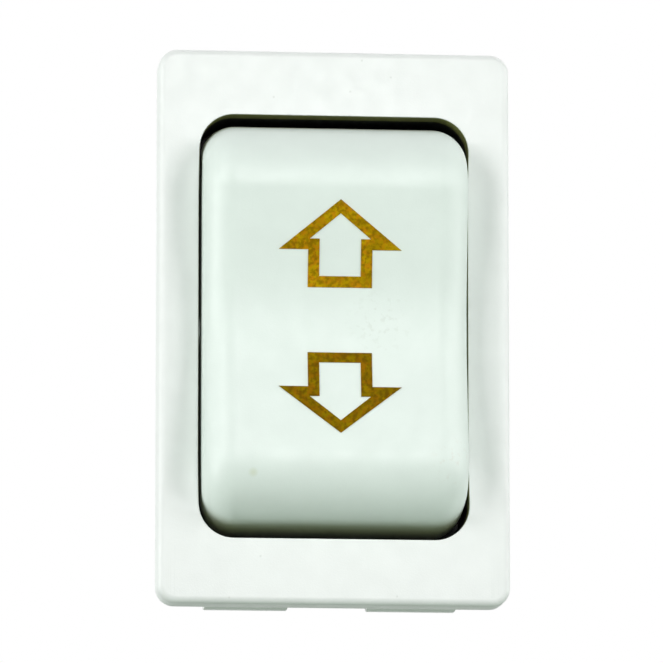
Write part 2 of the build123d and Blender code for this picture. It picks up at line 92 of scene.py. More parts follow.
# Snap wings and latch arms behind the bezel, as (middle, width) along X
WINGS = ((-5.75, 6.1), (6.3, 6.5))
WING_THICKNESS = 1.05
WING_GAP = 0.8
WING_LENGTH = 10.5
WING_BARB_START = 2.1
WING_BARB_PEAK = 5.0
WING_BARB_FLAT = 1.0
WING_BARB_RISE = 1.4
WING_TIP_SHARE = 0.5
LATCH_WIDTH = 4.2
LATCH_THICKNESS = 0.8
LATCH_HOOK_LENGTH = 1.0
LATCH_HOOK_OVERLAP = 1.0
ARM_EDGE = 0.1

# Rocker
SIDE_GAP = 0.22
END_GAP = 0.5
PIVOT_DEPTH = 1.5
FACE_ANGLE = math.radians(9.2)
VALLEY_PROUD = 4.55
VALLEY_RADIUS = 22.0
ROLL_RADIUS = 4.3
ROCKER_WALL = 1.3
BOSS_HALF_LENGTH = 3.6
BOSS_DROP = 2.2
RIB_THICKNESS = 1.0
TRUNNION_RADIUS = 1.2
TRUNNION_SHORTFALL = 0.1
TRUNNION_EDGE = 0.12
TUBE_RADIUS = 2.6
TUBE_END = 9.0
BORE_RADIUS = 1.8
BORE_TOP = -2.6

# Plungers in the rocker's tubes, and the coil springs that push them
PLUNGER_RADIUS = 1.75
SPIGOT_RADIUS = 0.95
SPIGOT_LENGTH = 1.6
PLUNGER_TIP_RADIUS = 1.2
PLUNGER_TIP_TAPER = 0.8
PLUNGER_TIP_FLAT = 0.05
SPRING_RADIUS = 1.38
SPRING_WIRE = 0.34
SPRING_TURNS = 8
SPRING_TURN_STEPS = 32
SPRING_WIRE_STEPS = 12

# Black base
BASE_SIDE_WALL = 0.71
BASE_END_WALL = 1.0
BASE_STEP_IN = 2.0
BASE_LOWER_WALL = 1.1
BASE_CORNER_RADIUS = 3.2
DIVIDER_THICKNESS = 1.2
DIVIDER_FRONT = 6.6
TRUNNION_HOLE_RADIUS = 1.25
BASE_STEP_DEPTH = 4.281
BASE_LEDGE = 1.0
BASE_FLOOR = 2.0

# Tab terminals
TAB_WIDTH = 6.35
TAB_THICKNESS = 0.8
TAB_HOLE_RADIUS = 0.85
TAB_HOLE_FROM_END = 4.2
TAB_CHAMFER = 1.0
TAB_WALL_DISTANCE = 1.9
TAB_BEND_RADIUS = 0.72
FORK_NOTCH_HALF_WIDTH = 2.6
FORK_EAR_HEIGHT = 1.25
RIVET_HOLE_RADIUS = 0.83

# Worked out from the sizes above and from the frame
BEZEL_WIDTH = (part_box("bezel_frame")[1].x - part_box("bezel_frame")[0].x) / MM
BEZEL_HEIGHT = (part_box("bezel_frame")[1].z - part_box("bezel_frame")[0].z) / MM
ROCKER_WIDTH = OPENING_WIDTH - 2 * SIDE_GAP
ROCKER_END_RADIUS = OPENING_HEIGHT / 2 - END_GAP
BASE_WIDTH = OPENING_WIDTH + 2 * BASE_SIDE_WALL
BASE_UPPER_HALF = OPENING_HEIGHT / 2 + BASE_END_WALL
BASE_LOWER_HALF = BASE_UPPER_HALF - BASE_STEP_IN
BASE_INSIDE_HALF = BASE_LOWER_HALF - BASE_LOWER_WALL
BASE_STEP_BACK = BASE_STEP_DEPTH + BASE_LEDGE
BASE_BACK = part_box("switch_base")[1].y / MM
POLE = (OPENING_WIDTH + DIVIDER_THICKNESS) / 4
END_TAB_HEIGHT = BASE_INSIDE_HALF - TAB_WALL_DISTANCE - TAB_THICKNESS
FLOOR_FRONT = BASE_BACK - BASE_FLOOR
TAB_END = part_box("left_common_terminal")[1].y / MM
TAB_BOTTOMS = {
    "common": -TAB_THICKNESS / 2,
    "upper": END_TAB_HEIGHT,
    "lower": -END_TAB_HEIGHT - TAB_THICKNESS,
}

# Painted shade in the gap: its colour, how far behind the bezel's face it starts and is full, and its
# spread
PAINTED_GAP_SHADE = (0.18, 0.19, 0.05)
GAP_SHADE_DEPTHS = (0.04, 0.2)
GAP_SHADE_SPREAD = 0.02

# The veil of painted shade on the rocker's ends: the depths and heights where it starts and is full
SHADE_VEIL_DEPTHS = (-3.2, -1.9)
SHADE_VEIL_HEIGHTS = (13.2, 14.4)
SHADE_VEIL_STRENGTH = 0.5

# Marks of use: the bezel's specks as (across, up), and the rocker's as (place, radius, colour, depth)
SPECK_PLACES = (
    (-4.4, 16.7), (2.0, 19.5), (1.15, 17.2), (4.1, 18.3), (10.8, 10.4), (11.35, -2.9),
    (-5.3, -16.7), (4.5, -19.5), (-7.55, -19.7),
)
SPECK_RADIUS = 0.11
SPECK_COLOUR = (0.45, 0.48, 0.44)
SPECK_DEPTH = 0.3
ROCKER_MARKS = (
    ((-6.15, -6.1, -11.2), 0.42, (0.5, 0.55, 0.25), 0.3),
    ((0.6, -5.75, -12.35), 0.1, (0.3, 0.32, 0.25), 0.4),
)
ROCKER_SCUFFS = (
    ((3.1, -4.6, 0.0), 2.9, (0.5, 0.56, 0.48), 0.22),
    ((8.2, -5.4, -10.2), 2.0, (0.6, 0.52, 0.42), 0.2),
)
SPOT_CORE = 0.3

# The arrows' foil: its orange as shares of its gold, what shows where it is thin (darker on the lower one
# as painted shade), and the share of painted shade that darkens the lower one
ORANGE_SHARES = (1.12, 0.78, 2)
UPPER_DARK = (0.11, 0.065, 0.001)
SHADED_LOWER_DARK = (0.055, 0.031, 0.001)
LOWER_SHADE_SHARE = 0.455

# The photograph's viewpoint, in metres
CAMERA_PLACE = (-0.048076, -0.49346, -0.078894)
CAMERA_TARGET = (-0.000182, -0.002, -0.000334)
CAMERA_LENS = 377.5
CAMERA_SENSOR = 36.0

# Lamps: name, angles round the switch and up in degrees, size in metres and power in watts
LAMPS = (
    ("front_lamp", 3, 16, 0.4, 3.3),
    ("left_lamp", -48, 17, 0.4, 2.93),
    ("right_lamp", 48, 17, 0.4, 2.73),
    ("left_side_lamp", -80, 0, 0.5, 3.6),
    ("right_side_lamp", 80, 8, 0.5, 2.5),
)

# The floor, in metres: what it shows, what it throws back at the switch and how much it glows
FLOOR_SIZE = 12.0
FLOOR_HEIGHT = -0.34
FLOOR_SHOWN = (0.3, 0.3, 0.3)
FLOOR_BOUNCE = (0.22, 0.275, 0.22)
FLOOR_GLOW = 0.6

# The world's light: its colour, its strengths and how far back one gives way to the other
WORLD_COLOUR = (0.94, 0.99, 0.95)
WORLD_FRONT = 0.04
WORLD_BEHIND = 1.4
WORLD_TURN = (0.1, 0.35)


def deselect():
    """Leaves edit mode and selects nothing."""
    if bpy.context.mode != "OBJECT":
        bpy.ops.object.mode_set(mode="OBJECT")
    bpy.ops.object.select_all(action="DESELECT")


def activate(piece):
    """Makes one piece the selected and active one."""
    deselect()
    piece.select_set(True)
    bpy.context.view_layer.objects.active = piece


def just_added(name):
    """The object that the last operator added, under a name."""
    piece = bpy.context.object
    piece.name = name
    return piece


def edit_whole(piece):
    """Opens a piece in edit mode with everything selected."""
    activate(piece)
    bpy.ops.object.mode_set(mode="EDIT")
    bpy.ops.mesh.select_all(action="SELECT")


def close_skin():
    """Turns all faces of the piece in edit mode outwards, and leaves edit mode."""
    bpy.ops.mesh.select_all(action="SELECT")
    bpy.ops.mesh.normals_make_consistent(inside=False)
    bpy.ops.object.mode_set(mode="OBJECT")


def apply_place(piece):
    """Puts the piece's place, turn and scale into its mesh."""
    activate(piece)
    bpy.ops.object.transform_apply(location=True, rotation=True, scale=True)


def block(name, low, high):
    """A block between two corners."""
    deselect()
    centre = [(a + b) / 2 for a, b in zip(low, high)]
    size = [b - a for a, b in zip(low, high)]
    bpy.ops.mesh.primitive_cube_add(size=1, location=centre, scale=size)
    piece = just_added(name)
    apply_place(piece)
    return piece


def rod(name, radius, start, end, steps=ROD_STEPS):
    """A round rod between two points."""
    deselect()
    line = Vector(end) - Vector(start)
    bpy.ops.mesh.primitive_cylinder_add(vertices=steps, radius=radius, depth=line.length)
    piece = just_added(name)
    piece.rotation_mode = "QUATERNION"
    piece.rotation_quaternion = line.to_track_quat("Z", "Y")
    piece.location = (Vector(start) + Vector(end)) / 2
    apply_place(piece)
    return piece


def side_plate(name, points, x_low, x_high):
    """A plate that runs from x_low to x_high and whose outline is (depth, height) points."""
    deselect()
    bpy.ops.mesh.primitive_circle_add(vertices=len(points), radius=1, fill_type="NGON")
    piece = just_added(name)
    for vertex, (depth, height) in zip(piece.data.vertices, points):
        vertex.co = (x_low, depth, height)
    edit_whole(piece)
    bpy.ops.mesh.extrude_region_move(TRANSFORM_OT_translate={"value": (x_high - x_low, 0, 0)})
    close_skin()
    return piece


def pick_edges(piece, test):
    """Opens the piece in edit mode with only the edges selected whose two end points pass the test."""
    activate(piece)
    bpy.ops.object.mode_set(mode="EDIT")
    bpy.ops.mesh.select_mode(type="EDGE")
    bpy.ops.mesh.select_all(action="DESELECT")
    bpy.ops.object.mode_set(mode="OBJECT")
    places = [vertex.co.copy() for vertex in piece.data.vertices]
    for edge in piece.data.edges:
        edge.select = test(places[edge.vertices[0]], places[edge.vertices[1]])
    bpy.ops.object.mode_set(mode="EDIT")


def bevel_picked(offset, steps):
    """Bevels the selected edges and leaves edit mode."""
    bpy.ops.mesh.bevel(offset=offset, segments=steps, profile=0.5, affect="EDGES", clamp_overlap=False)
    bpy.ops.object.mode_set(mode="OBJECT")


def along(axis):
    """A test that passes edges parallel to an axis, given as 0, 1 or 2."""
    others = [i for i in range(3) if i != axis]
    return lambda a, b: all(abs(a[i] - b[i]) < NEAR for i in others)


def front_block(name, width, height, corner_radius, y_low, y_high):
    """A block whose corners are rounded as seen from the front."""
    piece = block(name, (-width / 2, y_low, -height / 2), (width / 2, y_high, height / 2))
    pick_edges(piece, along(1))
    bevel_picked(corner_radius, steps=14)
    return piece


def combine(piece, tool, operation):
    """Adds, cuts or intersects a piece with a tool, and removes the tool."""
    activate(piece)
    modifier = piece.modifiers.new("combine", "BOOLEAN")
    modifier.operation = operation
    modifier.solver = "EXACT"
    modifier.object = tool
    bpy.ops.object.modifier_apply(modifier=modifier.name)
    mesh = tool.data
    bpy.data.objects.remove(tool)
    bpy.data.meshes.remove(mesh)


def slice_across(piece, axis, places):
    """Cuts new edges round the piece at each place along an axis."""
    activate(piece)
    bpy.ops.object.mode_set(mode="EDIT")
    normal = [0, 0, 0]
    normal[axis] = 1
    for place in places:
        point = [0, 0, 0]
        point[axis] = place
        bpy.ops.mesh.select_all(action="SELECT")
        bpy.ops.mesh.bisect(plane_co=point, plane_no=normal, use_fill=False, threshold=WELD)
    bpy.ops.object.mode_set(mode="OBJECT")


def soften_edges(piece, width):
    """Rounds every sharp edge a little."""
    activate(piece)
    modifier = piece.modifiers.new("soften", "BEVEL")
    modifier.width = width
    modifier.segments = 2
    modifier.limit_method = "ANGLE"
    modifier.angle_limit = SHARP_ANGLE
    modifier.use_clamp_overlap = True
    bpy.ops.object.modifier_apply(modifier=modifier.name)


def settle(piece, name, body, slot, material, *nodes):
    """Brings a finished piece from millimetres to metres and gives it its shading, finish and body."""
    piece.name = name
    edit_whole(piece)
    bpy.ops.mesh.remove_doubles(threshold=WELD)
    bpy.ops.object.mode_set(mode="OBJECT")
    piece.scale = (MM, MM, MM)
    apply_place(piece)
    bpy.ops.object.shade_smooth_by_angle(angle=SMOOTH_ANGLE)
    modifier = piece.modifiers.new("even shading", "WEIGHTED_NORMAL")
    modifier.keep_sharp = True
    bpy.ops.object.modifier_apply(modifier=modifier.name)
    piece.data.materials.clear()
    piece.data.materials.append(material)
    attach(piece, body)
    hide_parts(*nodes)


def shade(colour, share):
    """A colour made darker or lighter by a share."""
    return [c * share for c in colour]


def set_inputs(node, **values):
    """Sets a node's inputs by name, with _ in place of a space."""
    for name, value in values.items():
        node.inputs[name.replace("_", " ")].default_value = value


def add_node(tree, kind, place, **inputs):
    """Adds a shader node at a place and sets its inputs by name."""
    node = tree.nodes.new(kind)
    node.location = place
    set_inputs(node, **inputs)
    return node


def start_material(name):
    """A new material with a principled shader and object coordinates."""
    material = bpy.data.materials.new(name)
    material.use_nodes = True
    tree = material.node_tree
    tree.nodes.clear()
    output = add_node(tree, "ShaderNodeOutputMaterial", (900, 0))
    shader = add_node(tree, "ShaderNodeBsdfPrincipled", (600, 0))
    coordinates = add_node(tree, "ShaderNodeTexCoord", (-1200, 0))
    tree.links.new(shader.outputs["BSDF"], output.inputs["Surface"])
    return material, tree, shader, coordinates.outputs["Object"]


def noise(tree, coordinates, scale, detail, roughness=0.5):
    """A noise pattern on object coordinates, whose scale is features per metre."""
    node = add_node(tree, "ShaderNodeTexNoise", (-900, 0), Scale=scale, Detail=detail, Roughness=roughness)
    tree.links.new(coordinates, node.inputs["Vector"])
    return node.outputs["Fac"]


def ramp(tree, value, low, high, low_to=0.0, high_to=1.0):
    """Maps a value between two limits to another range, with no overshoot."""
    node = add_node(
        tree, "ShaderNodeMapRange", (-600, 0), From_Min=low, From_Max=high, To_Min=low_to, To_Max=high_to
    )
    tree.links.new(value, node.inputs["Value"])
    return node.outputs["Result"]


def patches(tree, coordinates, scale, detail, low=0.3, high=0.7, low_to=0.0, high_to=1.0, roughness=0.5):
    """A noise pattern of which the part between two limits is stretched to a range."""
    return ramp(tree, noise(tree, coordinates, scale, detail, roughness), low, high, low_to, high_to)


def calculate(tree, operation, *sockets):
    """A math node on one or two sockets."""
    node = add_node(tree, "ShaderNodeMath", (-450, -500))
    node.operation = operation
    for number, socket in enumerate(sockets):
        tree.links.new(socket, node.inputs[number])
    return node.outputs["Value"]


def separate(tree, coordinates):
    """The X, Y and Z of some coordinates, each as a socket."""
    parts = add_node(tree, "ShaderNodeSeparateXYZ", (-1000, -500))
    tree.links.new(coordinates, parts.inputs["Vector"])
    return parts.outputs


def mix_colours(tree, factor, first, second):
    """Mixes two colours or colour sockets by a factor's socket."""
    node = add_node(tree, "ShaderNodeMix", (-300, 0))
    node.data_type = "RGBA"
    tree.links.new(factor, node.inputs["Factor"])
    for key, value in (("A", first), ("B", second)):
        socket = [s for s in node.inputs if s.name == key and s.type == "RGBA"][0]
        if isinstance(value, bpy.types.NodeSocket):
            tree.links.new(value, socket)
        else:
            socket.default_value = (*value[:3], 1.0)
    return [s for s in node.outputs if s.type == "RGBA"][0]


def bump(tree, shader, height, distance):
    """Gives the shader a bump of some distance in metres, over any bump that it has."""
    node = add_node(tree, "ShaderNodeBump", (300, -300), Strength=1.0, Distance=distance)
    tree.links.new(height, node.inputs["Height"])
    normal = shader.inputs["Normal"]
    if normal.is_linked:
        tree.links.new(normal.links[0].from_socket, node.inputs["Normal"])
    tree.links.new(node.outputs["Normal"], normal)


def spot(tree, coordinates, place, radius, depth):
    """A soft round mark at a place in millimetres: its depth in its middle and 0 outside its radius."""
    away = add_node(tree, "ShaderNodeVectorMath", (-900, -400))
    away.operation = "DISTANCE"
    tree.links.new(coordinates, away.inputs[0])
    away.inputs[1].default_value = [c * MM for c in place]
    core = SPOT_CORE * radius
    return ramp(tree, away.outputs["Value"], core * MM, radius * MM, depth, 0.0)


def scuff(tree, coordinates, place, radius, depth):
    """A patch of faint dabs round a place in millimetres."""
    dabs = patches(tree, coordinates, scale=2300, detail=2.0, low=0.56, high=0.66)
    return calculate(tree, "MULTIPLY", dabs, spot(tree, coordinates, place, radius, depth))


def opening_shade_mask(tree, coordinates):
    """1 on the walls of the bezel's opening, which get painted shade, and 0 on the bezel's face."""
    parts = separate(tree, coordinates)
    start, full = ((depth - BEZEL_THICKNESS) * MM for depth in GAP_SHADE_DEPTHS)
    mask = ramp(tree, parts["Y"], start, full)
    for axis, size in (("X", OPENING_WIDTH), ("Z", OPENING_HEIGHT)):
        away = calculate(tree, "ABSOLUTE", parts[axis])
        wall = (size / 2 + GAP_SHADE_SPREAD) * MM
        inside = ramp(tree, away, wall, wall + GAP_SHADE_SPREAD * MM, 1.0, 0.0)
        mask = calculate(tree, "MULTIPLY", mask, inside)
    return mask


def root_shade(tree, coordinates):
    """A faint veil of painted shade on the rocker's ends, where they go down into the opening."""
    parts = separate(tree, coordinates)
    start, full = (depth * MM for depth in SHADE_VEIL_DEPTHS)
    low = ramp(tree, parts["Y"], start, full, 0.0, SHADE_VEIL_STRENGTH)
    start, full = (height * MM for height in SHADE_VEIL_HEIGHTS)
    ends = ramp(tree, calculate(tree, "ABSOLUTE", parts["Z"]), start, full)
    return calculate(tree, "MULTIPLY", low, ends)


def moulded_white(name, colour, roughness, marks, shade_mask, scuffs=()):
    """White moulded nylon: a fine matt grain, faint flow mottling, painted shade where parts go into the
    opening, and small marks of use.
    """
    material, tree, shader, coordinates = start_material(name)
    mottle = patches(tree, coordinates, scale=420, detail=4.0)
    tint = mix_colours(tree, mottle, shade(colour, 0.965), colour)
    # Painted shade: the mask darkens the colour towards the gap's olive shade colour.
    tint = mix_colours(tree, shade_mask(tree, coordinates), tint, PAINTED_GAP_SHADE)
    for place, radius, mark_colour, depth in marks:
        tint = mix_colours(tree, spot(tree, coordinates, place, radius, depth), tint, mark_colour)
    for place, radius, mark_colour, depth in scuffs:
        tint = mix_colours(tree, scuff(tree, coordinates, place, radius, depth), tint, mark_colour)
    tree.links.new(tint, shader.inputs["Base Color"])
    duller, shinier = roughness + 0.05, roughness - 0.05
    sheen = patches(tree, coordinates, scale=900, detail=3.0, low_to=shinier, high_to=duller)
    tree.links.new(sheen, shader.inputs["Roughness"])
    set_inputs(shader, IOR=1.53, Specular_IOR_Level=0.8)
    set_inputs(shader, Subsurface_Weight=0.05, Subsurface_Scale=0.5 * MM, Subsurface_Radius=(1, 1, 1))
    bump(tree, shader, noise(tree, coordinates, scale=9000, detail=2.0), distance=0.006 * MM)
    bump(tree, shader, noise(tree, coordinates, scale=260, detail=2.0), distance=0.02 * MM)
    return material


def stamped_gold(name, colour, orange, dark):
    """Hot-stamped gold foil: grainy, yellow and orange, with dark flecks where the foil hasn't taken."""
    material, tree, shader, coordinates = start_material(name)
    flecks = patches(
        tree, coordinates, scale=3400, detail=3.0, low=0.38, high=0.56, low_to=0.25, roughness=0.6
    )
    thin = patches(tree, coordinates, scale=900, detail=2.0, low=0.35, high=0.65, low_to=0.6)
    warm = patches(tree, coordinates, scale=2100, detail=3.0, low=0.44, high=0.58, roughness=0.6)
    foil = mix_colours(tree, warm, colour, orange)
    tint = mix_colours(tree, calculate(tree, "MULTIPLY", flecks, thin), dark, foil)
    tree.links.new(tint, shader.inputs["Base Color"])
    set_inputs(shader, Metallic=1.0, Roughness=0.5)
    grain = noise(tree, coordinates, scale=2600, detail=3.0, roughness=0.6)
    bump(tree, shader, grain, distance=0.006 * MM)
    return material


def moulded_black(name, colour):
    """Black glass-filled moulding with a fine matt grain."""
    material, tree, shader, coordinates = start_material(name)
    mottle = patches(tree, coordinates, scale=700, detail=4.0)
    tree.links.new(mix_colours(tree, mottle, colour, shade(colour, 1.6)), shader.inputs["Base Color"])
    sheen = patches(tree, coordinates, scale=1500, detail=3.0, low_to=0.42, high_to=0.58)
    tree.links.new(sheen, shader.inputs["Roughness"])
    bump(tree, shader, noise(tree, coordinates, scale=5000, detail=3.0), distance=0.012 * MM)
    return material


def rolled_metal(name, colour, tarnish, roughness, grain_axis=1):
    """Rolled, drawn or stamped metal: fine lines along its grain, with tarnish in soft patches."""
    material, tree, shader, coordinates = start_material(name)
    stretch = add_node(tree, "ShaderNodeMapping", (-1050, 0))
    scale = [1.0, 1.0, 1.0]
    scale[grain_axis] = 0.03
    set_inputs(stretch, Scale=scale)
    tree.links.new(coordinates, stretch.inputs["Vector"])
    lines = noise(tree, stretch.outputs["Vector"], scale=9000, detail=2.0)
    stains = patches(tree, coordinates, scale=350, detail=4.0, low=0.45, high=0.75)
    tree.links.new(mix_colours(tree, stains, colour, tarnish), shader.inputs["Base Color"])
    set_inputs(shader, Metallic=1.0)
    sheen = ramp(tree, lines, 0.3, 0.7, low_to=roughness - 0.08, high_to=roughness + 0.1)
    tree.links.new(sheen, shader.inputs["Roughness"])
    bump(tree, shader, lines, distance=0.003 * MM)
    return material


def plain_moulding(name, colour):
    """Smooth natural nylon."""
    material, tree, shader, coordinates = start_material(name)
    mottle = patches(tree, coordinates, scale=500, detail=3.0)
    tree.links.new(mix_colours(tree, mottle, shade(colour, 0.94), colour), shader.inputs["Base Color"])
    set_inputs(shader, Roughness=0.35)
    bump(tree, shader, noise(tree, coordinates, scale=3000, detail=2.0), distance=0.004 * MM)
    return material


def seen_ray(tree):
    """1 for the rays that show a surface to the camera, straight or by a reflection or through glass."""
    path = add_node(tree, "ShaderNodeLightPath", (-900, 300))
    seen = path.outputs["Is Camera Ray"]
    for ray in ("Is Glossy Ray", "Is Transmission Ray"):
        seen = calculate(tree, "MAXIMUM", seen, path.outputs[ray])
    return seen


def soft_floor(name, colour, bounce):
    """The pale, faintly uneven floor. It shows paler than the light that it throws at the object."""
    material, tree, shader, coordinates = start_material(name)
    mottle = patches(tree, coordinates, scale=3.0, detail=3.0)
    shown = mix_colours(tree, mottle, shade(colour, 0.98), colour)
    seen = seen_ray(tree)
    tree.links.new(mix_colours(tree, seen, bounce, shown), shader.inputs["Base Color"])
    glow = ramp(tree, seen, 0.0, 1.0, low_to=0.0, high_to=FLOOR_GLOW)
    tree.links.new(glow, shader.inputs["Emission Strength"])
    set_inputs(shader, Emission_Color=(1.0, 1.0, 1.0, 1.0), Roughness=0.9)
    return material


def size_property(name, description, millimetres):
    """A length that the sidebar shows, given in millimetres and kept in metres."""
    return bpy.props.FloatProperty(
        name=name, description=description, default=millimetres * MM, unit="LENGTH"
    )


def colour_property(name, description, colour):
    """A colour that the sidebar shows."""
    return bpy.props.FloatVectorProperty(
        name=name, description=description, subtype="COLOR", default=colour, min=0, max=1
    )


class SlideSwitchSizes(bpy.types.PropertyGroup):
    """Sizes of the switch that a user would change."""

    bezel_edge: size_property("Bezel edge", "Radius of the bezel's front edge", 0.5)
    opening_edge: size_property("Opening edge", "Radius of the edge of the opening", 0.05)
    side_fillet: size_property("Rocker sides", "Radius along the rocker's sides", 2.35)
    base_edge: size_property("Base edge", "Bevel of the base's outer edges", 0.25)
    tab_edge: size_property("Tab edge", "Bevel of the tabs' stamped edges", 0.09)


class SlideSwitchColours(bpy.types.PropertyGroup):
    """Colours of the switch that a user would change."""

    bezel: colour_property("Bezel", "White of the bezel", (0.85, 0.875, 0.86))
    rocker: colour_property("Rocker", "White of the rocker", (0.79, 0.875, 0.825))
    gold: colour_property("Arrows", "Gold of the arrows", (0.295, 0.197, 0.0015))
    base: colour_property("Base", "Black of the base", (0.012, 0.012, 0.013))
    tabs: colour_property("Tabs", "Brass of the tabs", (0.75, 0.58, 0.30))


def scoop_depth(x, z):
    """How deep a side rail is dished at a place: it slopes in to the opening and runs out at both ends."""
    outer = BEZEL_WIDTH / 2 - SCOOP_RIM
    inward = (outer - abs(x)) * SCOOP_DEPTH / (outer - OPENING_WIDTH / 2)
    endward = (SCOOP_HALF_LENGTH - abs(z)) * SCOOP_DEPTH / SCOOP_RAMP_LENGTH
    overlap = max(SCOOP_MITRE_BLEND - abs(inward - endward), 0) / SCOOP_MITRE_BLEND
    depth = min(inward, endward) - overlap**2 * SCOOP_MITRE_BLEND / 4
    if depth <= -SCOOP_BLEND:
        return 0.0
    if depth < SCOOP_BLEND:
        return (depth + SCOOP_BLEND) ** 2 / (4 * SCOOP_BLEND)
    return depth


def dish_rails(plate):
    """Cuts the opening and a fine net of edges, and presses the dished scoops into the side rails."""
    flat_edge = BEZEL_WIDTH / 2 - SCOOP_RIM
    first = OPENING_WIDTH / 2 + NET_START
    across = round((flat_edge + 3 * SCOOP_BLEND - first) / NET_STEP)
    upward = round((SCOOP_HALF_LENGTH + 3 * SCOOP_BLEND) / NET_STEP)
    for side in (-1, 1):
        slice_across(plate, 0, [side * (first + NET_STEP * i) for i in range(across + 1)])
    slice_across(plate, 2, [NET_STEP * i for i in range(-upward, upward + 1)])
    front = -BEZEL_THICKNESS
    hole = front_block("opening", OPENING_WIDTH, OPENING_HEIGHT, OPENING_CORNER_RADIUS, front - 1, 1)
    combine(plate, hole, "DIFFERENCE")
    for vertex in plate.data.vertices:
        x, y, z = vertex.co
        if y < front + NEAR:
            vertex.co.y = front + scoop_depth(x, z)


def on_opening(point):
    """Whether a point lies on the wall of the bezel's opening."""
    across = OPENING_WIDTH / 2 - abs(point.x)
    upward = OPENING_HEIGHT / 2 - abs(point.z)
    corner = OPENING_CORNER_RADIUS
    if across > corner or upward > corner:
        return min(abs(across), abs(upward)) < NEAR
    return abs(math.hypot(corner - across, corner - upward) - corner) < 3 * NEAR


class SlideSwitchBezelFrame(bpy.types.Operator):
    """Models the white frame: the bezel with its dished rails, the snap wings and the latch arms"""

    bl_idname = "slide_switch.bezel_frame"
    bl_label = "Bezel frame"

    def execute(self, context):
        sizes = context.scene.slide_switch_sizes
        colours = context.scene.slide_switch_colours
        front = -BEZEL_THICKNESS
        plate = front_block("bezel_frame_cover", BEZEL_WIDTH, BEZEL_HEIGHT, BEZEL_CORNER_RADIUS, front, 0)
        pick_edges(plate, lambda a, b: a.y < front + NEAR and b.y < front + NEAR)
        bevel_picked(sizes.bezel_edge / MM, steps=6)
        dish_rails(plate)
        deepest = front + SCOOP_DEPTH + NEAR
        pick_edges(plate, lambda a, b: on_opening(a) and on_opening(b) and a.y < deepest and b.y < deepest)
        bevel_picked(sizes.opening_edge / MM, steps=3)
        pocket = front_block(
            "pocket", BASE_WIDTH + 2 * POCKET_CLEARANCE, 2 * (BASE_UPPER_HALF + POCKET_CLEARANCE),
            BASE_CORNER_RADIUS, -POCKET_DEPTH, 1,
        )
        combine(plate, pocket, "DIFFERENCE")
        for arm in make_arms():
            combine(plate, arm, "UNION")
        # The walls of the opening get painted shade.
        material = moulded_white(
            "bezel_white_nylon", colours.bezel, roughness=0.42, marks=speck_marks(),
            shade_mask=opening_shade_mask,
        )
        settle(plate, "bezel_frame_cover", "housing", "bezel_white", material, "bezel_frame")
        return {"FINISHED"}


def make_arms():
    """The four snap wings and the two latch arms, each as a plate with softened edges."""
    inner = BASE_UPPER_HALF + WING_GAP
    outer = inner + WING_THICKNESS
    barb = outer + WING_BARB_RISE
    root = -BEZEL_THICKNESS / 2
    wing = [
        (root, inner), (root, outer), (WING_BARB_START, outer), (WING_BARB_PEAK, barb),
        (WING_BARB_PEAK + WING_BARB_FLAT, barb), (WING_LENGTH, outer - WING_THICKNESS * WING_TIP_SHARE),
        (WING_LENGTH, inner),
    ]
    foot = BASE_UPPER_HALF + POCKET_CLEARANCE
    tip = BASE_UPPER_HALF - LATCH_HOOK_OVERLAP
    arm_end = BASE_STEP_BACK + LATCH_HOOK_LENGTH
    latch = [
        (root, foot), (root, foot + LATCH_THICKNESS),
        (arm_end + LATCH_THICKNESS, foot + LATCH_THICKNESS), (arm_end + LATCH_THICKNESS, foot),
        (arm_end, tip), (BASE_STEP_BACK, tip), (BASE_STEP_BACK, foot),
    ]
    arms = []
    for end in (-1, 1):
        for middle, width in WINGS:
            points = [(y, end * z) for y, z in wing]
            arms.append(side_plate("wing", points, middle - width / 2, middle + width / 2))
        points = [(y, end * z) for y, z in latch]
        arms.append(side_plate("latch", points, -LATCH_WIDTH / 2, LATCH_WIDTH / 2))
    for arm in arms:
        soften_edges(arm, ARM_EDGE)
    return arms


def speck_marks():
    """The small dark specks on the bezel, as place, radius, colour and depth."""
    places = [(across, -BEZEL_THICKNESS, up) for across, up in SPECK_PLACES]
    return [(place, SPECK_RADIUS, SPECK_COLOUR, SPECK_DEPTH) for place in places]


def arc(centre, radius, start, end, steps):
    """Points along an arc, from one angle to another, as (depth, height)."""
    turns = [start + (end - start) * i / steps for i in range(steps + 1)]
    return [(centre[0] + radius * math.cos(t), centre[1] + radius * math.sin(t)) for t in turns]


def rocker_outline(outward, bottom):
    """The rocker's side view: two flat paddles in a shallow V, rolled ends and walls round the pivot."""
    end_radius = ROCKER_END_RADIUS + outward
    roll = ROLL_RADIUS + outward
    valley = VALLEY_RADIUS - outward
    normal = Vector((-math.cos(FACE_ANGLE), -math.sin(FACE_ANGLE)))
    uphill = Vector((-math.sin(FACE_ANGLE), math.cos(FACE_ANGLE)))
    reach = VALLEY_PROUD * math.cos(FACE_ANGLE) + outward
    foot = normal * (reach - roll) - Vector((PIVOT_DEPTH, 0))
    along_face = foot.dot(uphill)
    rise = math.sqrt(along_face**2 - foot.length_squared + (end_radius - roll) ** 2) - along_face
    centre = foot + uphill * rise
    touch = math.atan2(centre.y, centre.x)
    roll_centre = (centre.x + PIVOT_DEPTH, centre.y)
    valley_centre = (-(reach + valley) / math.cos(FACE_ANGLE), 0)
    upper = []
    if bottom > PIVOT_DEPTH:
        upper.append((bottom, end_radius))
    upper += arc((PIVOT_DEPTH, 0), end_radius, math.pi / 2, touch, steps=14)
    upper += arc(roll_centre, roll, touch, math.pi + FACE_ANGLE, steps=16)[1:]
    middle = arc(valley_centre, valley, FACE_ANGLE, -FACE_ANGLE, steps=12)
    lower = [(depth, -height) for depth, height in reversed(upper)]
    return upper + middle + lower


def rocker_block(name, outward, bottom, width):
    """The rocker's side view as a block of some width."""
    return side_plate(name, rocker_outline(outward, bottom), -width / 2, width / 2)


